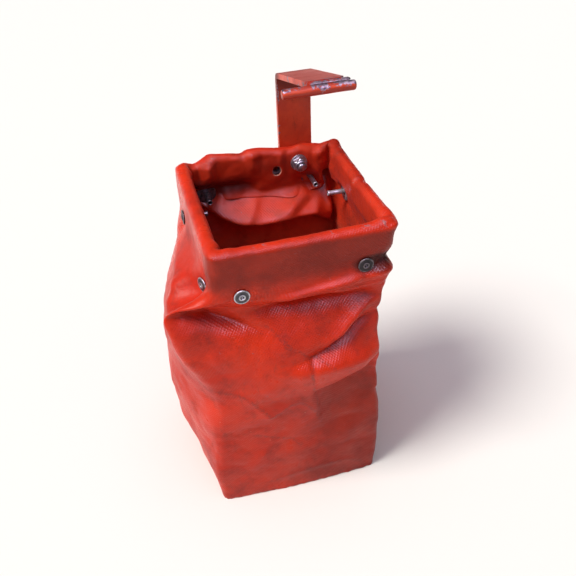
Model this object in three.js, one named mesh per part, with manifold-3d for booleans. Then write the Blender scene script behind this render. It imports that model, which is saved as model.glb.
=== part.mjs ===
// Open-topped bag of coated red cloth on a square steel rim, with a hook bracket bolted behind it.
// Units are millimetres. +Z is up, the mouth opens upwards, the front faces -Y and the bracket is at +Y.
// The origin is on the underside of the base, below the centre of the mouth.
import * as THREE from "three";
import { mergeVertices } from "three/addons/utils/BufferGeometryUtils.js";
import Module from "manifold-3d";

const wasm = await Module();
wasm.setup();

// ---- driving dimensions ----
const gap = 0.3;                 // between pieces that touch
const clothThickness = 2;
const mouthHalf = 83;            // outer face of the hem, from the centre
const rimTop = 310;
const hemRollRadius = 6.5;       // outer radius of the rolled top edge
const bandBottom = 252;          // the stiff band under the rim ends here

const frameBarHeight = 20;
const frameBarThickness = 5;
const frameCornerRadius = 10;
const frameTop = 306.5;

const rivetShank = 4.8;
const rivetFlange = 14;
const rivetTail = 17.5;          // past the backing washer
const rivetBore = 2.7;
const backingWasher = 20;
const backingWasherThickness = 1.2;

const boltX = 38.5;
const boltZ = 298;
const boltDiameter = 8;
const boltHexFlats = 13;
const boltWasher = 17;
const boltWasherThickness = 1.6;
const boltTip = 57;              // how far behind the centre the bolt's end lies
const spareHoleX = 16.5;
const spareHoleZ = 291.5;
const spareHoleDiameter = 6.5;

const strapWidth = 33;
const strapThickness = 5;
const strapFront = mouthHalf + 0.6;
const strapOffset = 1;           // the strap's centre line is not quite on the bolt
const bendRadius = 6.5;          // to the middle of the strap's thickness
const bendHeight = 377.5;
const plateRise = 16.5;          // degrees above level
const plateLength = 98;
const plateBevelLength = 3.8;    // the lower front edge is eased where the rod is welded on
const plateBevelRise = 0.3;
const bracketLean = -1.3;        // degrees, to the left
const rodDiameter = 8;
const rodLeft = -39;             // from the bolt
const rodRight = 23.5;

const holeClearance = 2 * gap;
const rad = THREE.MathUtils.degToRad;

// ---- materials ----
function finish(colour, roughness, metalness) {
  return new THREE.MeshStandardMaterial({ color: colour, roughness, metalness });
}
const redCloth = () => finish(0xc9352a, 0.55, 0);
const redPaint = () => finish(0x9c3026, 0.45, 0.1);
const greySteel = () => finish(0x8c8b92, 0.4, 0.9);
const darkSteel = () => finish(0x4a4547, 0.55, 0.8);

// ---- solids ----
function toSolid(geometry) {
  geometry.deleteAttribute("normal");
  geometry.deleteAttribute("uv");
  const merged = mergeVertices(geometry, 1e-4);
  const mesh = new wasm.Mesh({
    numProp: 3,
    vertProperties: new Float32Array(merged.attributes.position.array),
    triVerts: new Uint32Array(merged.index.array),
  });
  mesh.merge();
  return new wasm.Manifold(mesh);
}

function toGeometry(solid) {
  const mesh = solid.getMesh();
  const geometry = new THREE.BufferGeometry();
  geometry.setAttribute("position", new THREE.BufferAttribute(new Float32Array(mesh.vertProperties), 3));
  geometry.setIndex(new THREE.BufferAttribute(new Uint32Array(mesh.triVerts), 1));
  geometry.computeVertexNormals();
  return geometry;
}

function part(name, geometry, material) {
  const mesh = new THREE.Mesh(geometry, material);
  mesh.name = name;
  return mesh;
}

// A round pin along Y, from y = start to y = end.
function pinAlongY(diameter, start, end, sides = 20) {
  const geometry = new THREE.CylinderGeometry(diameter / 2, diameter / 2, end - start, sides);
  geometry.translate(0, (start + end) / 2, 0);
  return geometry;
}

function latheAlongY(profile, sides) {
  const points = profile.map(([radius, along]) => new THREE.Vector2(radius, along));
  return new THREE.LatheGeometry(points, sides);
}

function washerAlongY(outer, hole, start, end) {
  const ring = [[hole / 2, start], [outer / 2, start], [outer / 2, end], [hole / 2, end], [hole / 2, start]];
  return latheAlongY(ring, 20);
}

function hexAlongY(flats, start, end) {
  return pinAlongY(flats / Math.cos(Math.PI / 6), start, end, 6);
}

// ---- cloth ----
// The walls are the sides of a stack of four-cornered rows, from the base to the lower edge of the
// turned-in flap. Corners go front left, front right, back right, back left.
const sides = ["front", "right", "back", "left"];
const cornerGap = 1.45;          // from each panel's end to the corner line
const flapBottom = { front: 256, right: 263, back: 264, left: 253 };

const bodyRows = [
  { z: 2.3, corners: [[-86, -81], [78, -81], [78, 81], [-84, 80]], bulge: [3, 2, 2, 2] },
  { z: 35, corners: [[-90, -81], [79.5, -81.5], [80, 82], [-88, 81]], bulge: [3, 3, 3, 9] },
  { z: 75, corners: [[-89, -81], [79, -82], [81, 83], [-91, 82]], bulge: [4, 4, 3, 19] },
  { z: 110, corners: [[-87, -81], [77, -82], [82, 83], [-93, 82]], bulge: [8, 5, 2, 25] },
  { z: 150, corners: [[-84, -81], [74, -82], [82, 83], [-93, 82]], bulge: [15, 6, 0, 27] },
  { z: 178, corners: [[-95, -80], [72, -81], [81, 83], [-92, 82]], bulge: [15, 6, -5, 20] },
  { z: 205, corners: [[-107, -77], [71, -80], [80, 83], [-91, 82]], bulge: [9, 5, -15, 11] },
  { z: 226, corners: [[-115, -73], [70, -79], [79, 82], [-88, 82]], bulge: [3, 3, -25, 3], earGap: 2.5 },
  { z: 241, corners: [[-119, -71], [73, -80], [80, 82], [-86, 82]], bulge: [-2, 2, -24, -3], earGap: 6 },
];

function squareCorners(inset) {
  const half = mouthHalf - inset;
  return [[-half, -half], [half, -half], [half, half], [-half, half]];
}

// The hem: straight up the band, over the roll, and down the inside against the wall.
function hemRows(flapEnd) {
  const outerInset = clothThickness / 2;
  const middleRadius = hemRollRadius - outerInset;
  const rollCentre = rimTop - hemRollRadius;
  const flapInset = 1.5 * clothThickness + gap;
  const path = [[outerInset, 275]];
  const rollSteps = 6;
  for (let i = 0; i <= rollSteps; i++) {
    const angle = Math.PI * (1 - i / rollSteps);
    const inset = hemRollRadius + middleRadius * Math.cos(angle);
    path.push([inset, rollCentre + middleRadius * Math.sin(angle)]);
  }
  path.push([11.3, 289], [10.6, 285.2], [flapInset, 280.5], [flapInset, flapEnd]);
  const noBulge = [0, 0, 0, 0];
  const bandFoot = { z: bandBottom, corners: squareCorners(outerInset), bulge: noBulge, earGap: 5 };
  return [bandFoot, ...path.map(([inset, z]) => ({ z, corners: squareCorners(inset), bulge: noBulge }))];
}

// A point of one side of a row, from t = 0 at its left corner to t = 1 at its right one. The panels stop
// short of the corner line, and further short at the folded ear on the front left corner.
function sidePoint(row, side, t, openCorners) {
  const next = (side + 1) % 4;
  const [ax, ay] = row.corners[side];
  const [bx, by] = row.corners[next];
  const length = Math.hypot(bx - ax, by - ay);
  const [dx, dy] = [(bx - ax) / length, (by - ay) / length];
  const gapAt = (corner) => (corner === 0 && row.earGap ? row.earGap : cornerGap);
  const start = openCorners ? gapAt(side) : 0;
  const end = length - (openCorners ? gapAt(next) : 0);
  const along = start + t * (end - start);
  const out = row.bulge[side] * Math.sin(Math.PI * t);
  return new THREE.Vector3(ax + dx * along + dy * out, ay + dy * along - dx * out, row.z);
}

// Thickens a grid of points into one closed sheet, half to each side.
function thickSheet(grid, thickness) {
  const rows = grid.length;
  const columns = grid[0].length;
  const faceSize = rows * columns;
  const outer = [];
  const inner = [];
  for (let i = 0; i < rows; i++) {
    for (let j = 0; j < columns; j++) {
      const up = grid[Math.min(i + 1, rows - 1)][j].clone().sub(grid[Math.max(i - 1, 0)][j]);
      const across = grid[i][Math.min(j + 1, columns - 1)].clone().sub(grid[i][Math.max(j - 1, 0)]);
      const normal = across.cross(up).normalize();
      outer.push(...grid[i][j].clone().addScaledVector(normal, thickness / 2).toArray());
      inner.push(...grid[i][j].clone().addScaledVector(normal, -thickness / 2).toArray());
    }
  }
  const index = [];
  const quad = (a, b, c, d) => index.push(a, b, c, a, c, d);
  const at = (i, j) => i * columns + j;
  for (let i = 0; i < rows - 1; i++) {
    for (let j = 0; j < columns - 1; j++) {
      quad(at(i, j), at(i, j + 1), at(i + 1, j + 1), at(i + 1, j));
      quad(faceSize + at(i, j), faceSize + at(i + 1, j), faceSize + at(i + 1, j + 1), faceSize + at(i, j + 1));
    }
    const last = columns - 1;
    quad(at(i, 0), at(i + 1, 0), faceSize + at(i + 1, 0), faceSize + at(i, 0));
    quad(at(i, last), faceSize + at(i, last), faceSize + at(i + 1, last), at(i + 1, last));
  }
  for (let j = 0; j < columns - 1; j++) {
    const top = rows - 1;
    quad(at(0, j), faceSize + at(0, j), faceSize + at(0, j + 1), at(0, j + 1));
    quad(at(top, j), at(top, j + 1), faceSize + at(top, j + 1), faceSize + at(top, j));
  }
  const geometry = new THREE.BufferGeometry();
  geometry.setAttribute("position", new THREE.Float32BufferAttribute([...outer, ...inner], 3));
  geometry.setIndex(index);
  return geometry;
}

// ---- places on the four sides ----
// Turns a piece made along +Y, with y = 0 on the hem's outer face, so that +Y points into the bag.
function sideMatrix(side, along, height) {
  const turns = { front: 0, right: 1, back: 2, left: 3 };
  const turn = new THREE.Matrix4().makeRotationZ(turns[side] * Math.PI / 2);
  const place = new THREE.Matrix4().makeTranslation(along, -mouthHalf, height);
  return turn.multiply(place);
}

// "along" runs left to right as one faces that side from outside the bag.
const rivets = [
  { name: "front_left", side: "front", along: -56, height: 265.8 },
  { name: "front_right", side: "front", along: 52.5, height: 276 },
  { name: "right_front", side: "right", along: -46, height: 271 },
  { name: "right_back", side: "right", along: 41.5, height: 274.7 },
  { name: "back_right", side: "back", along: -53.3, height: 275.6 },
  { name: "back_left", side: "back", along: 54.4, height: 273.2 },
  { name: "left_back", side: "left", along: -43.7, height: 272 },
  { name: "left_front", side: "left", along: 49, height: 259.5 },
];
const washerSeat = 2 * clothThickness + 2 * gap;

function rivetGeometry() {
  const shank = rivetShank / 2;
  const flange = rivetFlange / 2;
  const bore = rivetBore / 2;
  const end = washerSeat + backingWasherThickness + rivetTail;
  const profile = [
    [0, -gap - 0.5], [1.5, -gap - 0.5], [1.8, -gap - 1.9], [4.2, -gap - 1.8], [6.4, -gap - 1.1],
    [flange, -gap - 0.5], [flange, -gap], [shank, -gap], [shank, end - 0.4], [shank - 0.4, end],
    [bore, end], [bore, end - 7], [0, end - 7],
  ];
  return latheAlongY(profile, 14);
}

function rivetClearance() {
  const reach = washerSeat + backingWasherThickness + rivetTail + 2;
  const hole = toSolid(pinAlongY(rivetShank + holeClearance, -4, reach));
  const flangeRoom = toSolid(pinAlongY(rivetFlange + holeClearance, -8, -gap / 2));
  const washerRoom = toSolid(pinAlongY(backingWasher + holeClearance, washerSeat - gap / 2, washerSeat + 9));
  return hole.add(flangeRoom).add(washerRoom);
}

function backingWasherGeometry() {
  const hole = rivetShank + holeClearance;
  return washerAlongY(backingWasher, hole, washerSeat, washerSeat + backingWasherThickness);
}

function throughHole(diameter, x, z) {
  const hole = pinAlongY(diameter + holeClearance, mouthHalf - 20, mouthHalf + 20);
  hole.translate(x, 0, z);
  return toSolid(hole);
}

function clothPanel(sideName) {
  const side = sides.indexOf(sideName);
  const columns = 9;
  const rows = [...bodyRows, ...hemRows(flapBottom[sideName])];
  const grid = rows.map((row) =>
    Array.from({ length: columns }, (_, j) => sidePoint(row, side, j / (columns - 1), true)));
  let panel = toSolid(thickSheet(grid, clothThickness));
  for (const rivet of rivets.filter((one) => one.side === sideName)) {
    const matrix = sideMatrix(rivet.side, rivet.along, rivet.height);
    panel = panel.subtract(rivetClearance().transform(matrix.toArray()));
  }
  if (sideName === "back") {
    panel = panel.subtract(throughHole(boltDiameter, boltX, boltZ));
    panel = panel.subtract(throughHole(spareHoleDiameter, spareHoleX, spareHoleZ));
  }
  return toGeometry(panel);
}

function bagBottom() {
  const outline = new THREE.Shape();
  const steps = 8;
  const edge = { ...bodyRows[0], z: 0 };
  const points = [];
  for (let side = 0; side < 4; side++) {
    for (let j = 0; j < steps; j++) {
      const point = sidePoint(edge, side, j / steps, false);
      points.push(new THREE.Vector2(point.x, point.y));
    }
  }
  outline.setFromPoints(points);
  return new THREE.ExtrudeGeometry(outline, { depth: clothThickness, bevelEnabled: false });
}

// ---- rim frame ----
function roundedSquare(target, half, radius) {
  target.moveTo(half - radius, -half);
  target.absarc(half - radius, -half + radius, radius, -Math.PI / 2, 0);
  target.absarc(half - radius, half - radius, radius, 0, Math.PI / 2);
  target.absarc(-half + radius, half - radius, radius, Math.PI / 2, Math.PI);
  target.absarc(-half + radius, -half + radius, radius, Math.PI, 1.5 * Math.PI);
  target.closePath();
  return target;
}

function rimFrame() {
  const outerHalf = mouthHalf - hemRollRadius + frameBarThickness / 2;
  const shape = roundedSquare(new THREE.Shape(), outerHalf, frameCornerRadius);
  const innerRadius = frameCornerRadius - frameBarThickness;
  shape.holes.push(roundedSquare(new THREE.Path(), outerHalf - frameBarThickness, innerRadius));
  const bar = new THREE.ExtrudeGeometry(shape, { depth: frameBarHeight, bevelEnabled: false, curveSegments: 5 });
  bar.translate(0, 0, frameTop - frameBarHeight);
  const drilled = toSolid(bar)
    .subtract(throughHole(boltDiameter, boltX, boltZ))
    .subtract(throughHole(spareHoleDiameter, spareHoleX, spareHoleZ));
  return toGeometry(drilled);
}

// ---- bracket bolt ----
const flapFace = mouthHalf - 2 * hemRollRadius;
const innerWasherFront = flapFace - gap - boltWasherThickness;
const strapBack = strapFront + strapThickness;
const outerWasherFront = strapBack + gap;
const headFront = outerWasherFront + boltWasherThickness + gap;

function bracketBolt() {
  const shank = toSolid(pinAlongY(boltDiameter, boltTip, headFront + 0.5, 20));
  const head = toSolid(hexAlongY(boltHexFlats, headFront, headFront + 5.3));
  return toGeometry(shank.add(head));
}

function bracketNut() {
  const back = innerWasherFront - gap;
  const hex = toSolid(hexAlongY(boltHexFlats, back - 6, back));
  const collar = toSolid(pinAlongY(11.4, back - 8, back - 5, 20));
  const hole = toSolid(pinAlongY(boltDiameter + holeClearance, back - 10, back + 2, 20));
  return toGeometry(hex.add(collar).subtract(hole));
}

function boltWasherAt(front) {
  return washerAlongY(boltWasher, boltDiameter + holeClearance, front, front + boltWasherThickness);
}

// ---- bracket, drawn about the bolt: x from the bolt, z above it ----
const rise = rad(plateRise);
const forward = new THREE.Vector2(-Math.cos(rise), Math.sin(rise));
const plateUp = new THREE.Vector2(Math.sin(rise), Math.cos(rise));
const bendCentre = new THREE.Vector2(strapFront + strapThickness / 2 - bendRadius, bendHeight - boltZ);
const plateUndersideStart = bendCentre.clone().addScaledVector(plateUp, bendRadius - strapThickness / 2);
const plateFrontBottom = plateUndersideStart.clone().addScaledVector(forward, plateLength);

// Extrudes a closed (y, z) outline along X, centred on x = middle.
function extrudeAlongX(points, width, middle) {
  const geometry = new THREE.ExtrudeGeometry(new THREE.Shape(points), { depth: width, bevelEnabled: false });
  geometry.translate(0, 0, middle - width / 2);
  geometry.applyMatrix4(new THREE.Matrix4().set(0, 0, 1, 0, 1, 0, 0, 0, 0, 1, 0, 0, 0, 0, 0, 1));
  return geometry;
}

function hookStrap() {
  const innerRadius = bendRadius - strapThickness / 2;
  const outerRadius = bendRadius + strapThickness / 2;
  const bendAngle = Math.PI / 2 - rise;
  const bendSteps = 6;
  const innerArc = [];
  const outerArc = [];
  for (let i = 0; i <= bendSteps; i++) {
    const angle = bendAngle * i / bendSteps;
    const direction = new THREE.Vector2(Math.cos(angle), Math.sin(angle));
    outerArc.push(bendCentre.clone().addScaledVector(direction, outerRadius));
    innerArc.push(bendCentre.clone().addScaledVector(direction, innerRadius));
  }
  const outline = [
    new THREE.Vector2(strapFront, 0),
    new THREE.Vector2(strapBack, 0),
    ...outerArc,
    plateFrontBottom.clone().addScaledVector(plateUp, strapThickness),
    plateFrontBottom.clone().addScaledVector(plateUp, plateBevelRise),
    plateFrontBottom.clone().addScaledVector(forward, -plateBevelLength),
    ...innerArc.reverse(),
  ];
  const bar = toSolid(extrudeAlongX(outline, strapWidth, strapOffset));
  const roundEnd = pinAlongY(strapWidth, strapFront, strapBack, 32);
  roundEnd.translate(strapOffset, 0, 0);
  const hole = toSolid(pinAlongY(boltDiameter + holeClearance, strapFront - 2, strapBack + 2));
  return toGeometry(bar.add(toSolid(roundEnd)).subtract(hole));
}

// A point near the plate's front lower corner: a forward along the plate, h up through it.
function atPlateFront([a, h]) {
  return plateFrontBottom.clone().addScaledVector(forward, a).addScaledVector(plateUp, h);
}

function hookRod() {
  const touch = rodDiameter / 2 + gap;
  const centre = atPlateFront([touch * Math.cos(rad(-29)), touch * Math.sin(rad(-29))]);
  const radius = rodDiameter / 2;
  const chamfer = 1;
  const profile = [
    [0, rodLeft], [radius - chamfer, rodLeft], [radius, rodLeft + chamfer],
    [radius, rodRight - chamfer], [radius - chamfer, rodRight], [0, rodRight],
  ];
  const rod = latheAlongY(profile, 18);
  rod.rotateZ(-Math.PI / 2);
  rod.translate(0, centre.x, centre.y);
  return rod;
}

function weldBead(outline) {
  return extrudeAlongX(outline.map(atPlateFront), strapWidth - 3, strapOffset);
}
const topBead = [[0.35, 4.2], [0.35, 1.1], [1.5, 1.8], [3.2, 2.5], [4.6, 2.6], [3, 3.4], [1.5, 4]];
const lowerBead = [[-0.6, -0.35], [-3.2, -0.35], [-2.2, -1.7], [-0.95, -2.9], [-0.75, -1.6]];

// ---- assembly ----
const blanketBag = new THREE.Group();

for (const side of sides) {
  blanketBag.add(part(`${side}_panel`, clothPanel(side), redCloth()));
}
blanketBag.add(part("bag_bottom", bagBottom(), redCloth()));
blanketBag.add(part("rim_frame", rimFrame(), darkSteel()));

for (const rivet of rivets) {
  const place = new THREE.Group();
  place.applyMatrix4(sideMatrix(rivet.side, rivet.along, rivet.height));
  place.add(part(`rivet_${rivet.name}`, rivetGeometry(), greySteel()));
  place.add(part(`rivet_washer_${rivet.name}`, backingWasherGeometry(), greySteel()));
  blanketBag.add(place);
}

const boltPlace = new THREE.Group();
boltPlace.position.set(boltX, 0, boltZ);
boltPlace.add(part("bracket_bolt", bracketBolt(), greySteel()));
boltPlace.add(part("bracket_nut", bracketNut(), greySteel()));
boltPlace.add(part("bracket_washer_inner", boltWasherAt(innerWasherFront), greySteel()));
boltPlace.add(part("bracket_washer_outer", boltWasherAt(outerWasherFront), greySteel()));
blanketBag.add(boltPlace);

const bracket = new THREE.Group();
bracket.position.set(boltX, 0, boltZ);
bracket.rotation.y = rad(bracketLean);
bracket.add(part("hook_strap", hookStrap(), redPaint()));
bracket.add(part("hook_rod", hookRod(), redPaint()));
bracket.add(part("hook_weld_top", weldBead(topBead), redPaint()));
bracket.add(part("hook_weld_under", weldBead(lowerBead), redPaint()));
blanketBag.add(bracket);

export default blanketBag;
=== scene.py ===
import math

import bmesh
import bpy
import numpy as np
from mathutils import Matrix, Vector, noise


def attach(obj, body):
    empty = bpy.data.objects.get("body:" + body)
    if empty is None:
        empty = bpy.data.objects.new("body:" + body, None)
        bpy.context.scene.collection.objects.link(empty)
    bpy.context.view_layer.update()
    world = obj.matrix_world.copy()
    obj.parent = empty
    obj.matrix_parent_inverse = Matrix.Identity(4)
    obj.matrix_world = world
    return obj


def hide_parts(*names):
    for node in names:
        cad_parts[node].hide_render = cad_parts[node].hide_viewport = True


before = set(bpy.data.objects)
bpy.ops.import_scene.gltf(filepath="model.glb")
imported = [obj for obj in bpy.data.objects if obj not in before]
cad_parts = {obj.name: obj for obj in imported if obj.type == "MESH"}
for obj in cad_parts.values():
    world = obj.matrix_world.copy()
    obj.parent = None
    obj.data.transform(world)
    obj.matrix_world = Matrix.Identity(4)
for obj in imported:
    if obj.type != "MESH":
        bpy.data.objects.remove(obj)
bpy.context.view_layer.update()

MM = 0.001
scene = bpy.context.scene

# ---- driving dimensions, millimetres and degrees
MOUTH_HALF = 83.0          # outer face of the hem
RIM_TOP = 310.0
ROLL_RADIUS = 6.5
CLOTH = 1.1
BAND_FOOT = 252.0
SIDE = 2 * MOUTH_HALF
SIDES = ("front", "right", "back", "left")

RIVETS = (                 # name, side, along it from its middle, height
    ("front_left", "front", -56, 265.8),
    ("front_right", "front", 52.5, 276),
    ("right_front", "right", -46, 271),
    ("right_back", "right", 41.5, 274.7),
    ("back_right", "back", -53.3, 275.6),
    ("back_left", "back", 54.4, 273.2),
    ("left_back", "left", -43.7, 272),
    ("left_front", "left", 49, 259.5),
)
RIVET_TURN = {"left_front": 20}   # towards the front, where the cloth under it slopes
BOLT_X = 38.5
BOLT_Z = 298.0
BOLT_FLATS = 13
SPARE_HOLE = (16.5, 291.5)
BRACKET_LEAN = -1.3
WEAVE_PITCH = 1.9
WEAVE_TURN = 42

# ---- camera and light, metres and degrees
CAMERA_AZIMUTH = -15.4
CAMERA_ELEVATION = 37.8
CAMERA_ROLL = -0.8
CAMERA_DISTANCE = 0.712
CAMERA_TARGET = (0.0065, 0.0, 0.1995)
LENS = 45.0
SKY = 0.24                 # strength of the surround
FLOOR_REACH = 6.0
FLOOR_DROP = 0.0002        # keeps the floor just clear of the base


def make_camera():
    azimuth = math.radians(CAMERA_AZIMUTH)
    elevation = math.radians(CAMERA_ELEVATION)
    back = Vector((math.sin(azimuth) * math.cos(elevation),
                   -math.cos(azimuth) * math.cos(elevation),
                   math.sin(elevation)))
    data = bpy.data.cameras.new("camera")
    data.sensor_width = 36
    data.lens = LENS
    camera = bpy.data.objects.new("camera", data)
    scene.collection.objects.link(camera)
    camera.location = Vector(CAMERA_TARGET) + back * CAMERA_DISTANCE
    camera.rotation_euler = (-back).to_track_quat("-Z", "Y").to_euler()
    camera.rotation_euler.rotate_axis("Z", math.radians(CAMERA_ROLL))
    scene.camera = camera


def sun_light(name, place, spread, strength, tint=(1, 1, 1)):
    """A sun that shines from a place towards the origin."""
    data = bpy.data.lights.new(name, "SUN")
    data.angle = math.radians(spread)
    data.energy = strength
    data.color = tint
    light = bpy.data.objects.new(name, data)
    scene.collection.objects.link(light)
    light.location = place
    light.rotation_euler = (-light.location).to_track_quat("-Z", "Y").to_euler()
    return light


def make_sky():
    """A dim surround that is brighter and cooler to the left and overhead, like daylight from one side. The
    camera itself sees a plain pale backdrop."""
    world = bpy.data.worlds.new("studio")
    scene.world = world
    world.use_nodes = True
    n = Nodes(world.node_tree)
    x, _, z = n.split(n.coordinates("Generated"))
    light = n.mix(n.between(x, 0.2, -0.9), (0.34, 0.34, 0.36, 1), (1.5, 1.25, 1.5, 1))
    light = n.mix(n.between(z, 0.86, 0.98), light, (6.6, 5.6, 6.6, 1))
    backdrop = (0.96 / SKY, 0.96 / SKY, 0.95 / SKY, 1)
    seen = n.mix(n.add("ShaderNodeLightPath").outputs["Is Camera Ray"], light, backdrop)
    background = world.node_tree.nodes["Background"]
    n.put(background.inputs["Color"], seen)
    n.put(background.inputs["Strength"], SKY)


def make_floor():
    mesh = bpy.data.meshes.new("floor")
    corners = [(sx * FLOOR_REACH, sy * FLOOR_REACH, 0) for sx, sy in ((-1, -1), (1, -1), (1, 1), (-1, 1))]
    mesh.from_pydata(corners, [], [(0, 1, 2, 3)])
    floor = bpy.data.objects.new("floor", mesh)
    scene.collection.objects.link(floor)
    floor.location.z = -FLOOR_DROP
    material, n = new_material("floor")
    n.set("Base Color", (0.84, 0.845, 0.815, 1))
    n.set("Roughness", 0.95)
    n.set("Specular IOR Level", 0.1)
    mesh.materials.append(material)


def make_studio():
    make_sky()
    make_floor()
    sun_light("overhead", (-0.72, -0.16, 1.0), 22, 3.1, (1.0, 0.965, 0.90))
    sun_light("fill", (0.05, -0.45, 1.0), 70, 0.3)
    gloss = sun_light("gloss", (-0.12, -0.66, 0.95), 18, 4.0, (0.86, 0.70, 1.0))
    gloss.visible_diffuse = False           # seen only as soft streaks of shine on the folds
    scene.view_settings.view_transform = "Standard"
    scene.view_settings.look = "None"


# ---- node helpers
class Nodes:
    """Short calls for building one node tree."""

    def __init__(self, tree):
        self.tree = tree

    def add(self, kind, **settings):
        node = self.tree.nodes.new(kind)
        for key, value in settings.items():
            setattr(node, key, value)
        return node

    def put(self, socket, value):
        """Links a socket's value, or sets a constant."""
        if isinstance(value, bpy.types.NodeSocket):
            self.tree.links.new(value, socket)
        else:
            socket.default_value = value

    def set(self, name, value):
        """Sets an input of the surface shader."""
        self.put(self.tree.nodes["Principled BSDF"].inputs[name], value)

    def math(self, operation, first, *others):
        """Applies the operation to the values in turn."""
        for other in others:
            node = self.add("ShaderNodeMath", operation=operation)
            self.put(node.inputs[0], first)
            self.put(node.inputs[1], other)
            first = node.outputs[0]
        return first

    def times(self, *values):
        return self.math("MULTIPLY", *values)

    def plus(self, *values):
        return self.math("ADD", *values)

    def minus(self, *values):
        return self.math("SUBTRACT", *values)

    def most(self, *values):
        return self.math("MAXIMUM", *values)

    def mix(self, factor, a, b):
        node = self.add("ShaderNodeMix", data_type="RGBA")
        self.put(node.inputs["Factor"], factor)
        self.put(node.inputs[6], a)
        self.put(node.inputs[7], b)
        return node.outputs[2]

    def between(self, value, low, high, out_low=0.0, out_high=1.0):
        """A smooth step of the value from low to high, which may be the smaller."""
        node = self.add("ShaderNodeMapRange", interpolation_type="SMOOTHSTEP")
        for socket, given in zip(node.inputs, (value, low, high, out_low, out_high)):
            self.put(socket, given)
        return node.outputs["Result"]

    def noise(self, vector, scale, detail=3.0, roughness=0.5, distortion=0.0):
        node = self.add("ShaderNodeTexNoise")
        self.put(node.inputs["Vector"], vector)
        self.put(node.inputs["Scale"], scale)
        self.put(node.inputs["Detail"], detail)
        self.put(node.inputs["Roughness"], roughness)
        self.put(node.inputs["Distortion"], distortion)
        return node.outputs["Fac"]

    def coordinates(self, kind):
        return self.add("ShaderNodeTexCoord").outputs[kind]

    def split(self, vector):
        node = self.add("ShaderNodeSeparateXYZ")
        self.put(node.inputs[0], vector)
        return node.outputs

    def attribute(self, name):
        return self.add("ShaderNodeAttribute", attribute_name=name).outputs["Fac"]

    def scaled(self, vector, scale, turn=(0, 0, 0)):
        node = self.add("ShaderNodeMapping")
        self.put(node.inputs["Vector"], vector)
        self.put(node.inputs["Scale"], scale)
        self.put(node.inputs["Rotation"], turn)
        return node.outputs["Vector"]

    def bump(self, height, strength, distance, normal=None):
        node = self.add("ShaderNodeBump")
        self.put(node.inputs["Height"], height)
        self.put(node.inputs["Strength"], strength)
        self.put(node.inputs["Distance"], distance)
        if normal is not None:
            self.put(node.inputs["Normal"], normal)
        return node.outputs["Normal"]


def new_material(name):
    material = bpy.data.materials.new(name)
    material.use_nodes = True
    return material, Nodes(material.node_tree)


def colour(red, green, blue):
    """sRGB 0-255 to linear."""
    def linear(value):
        value /= 255
        return value / 12.92 if value <= 0.04045 else ((value + 0.055) / 1.055) ** 2.4
    return (linear(red), linear(green), linear(blue), 1)


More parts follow.
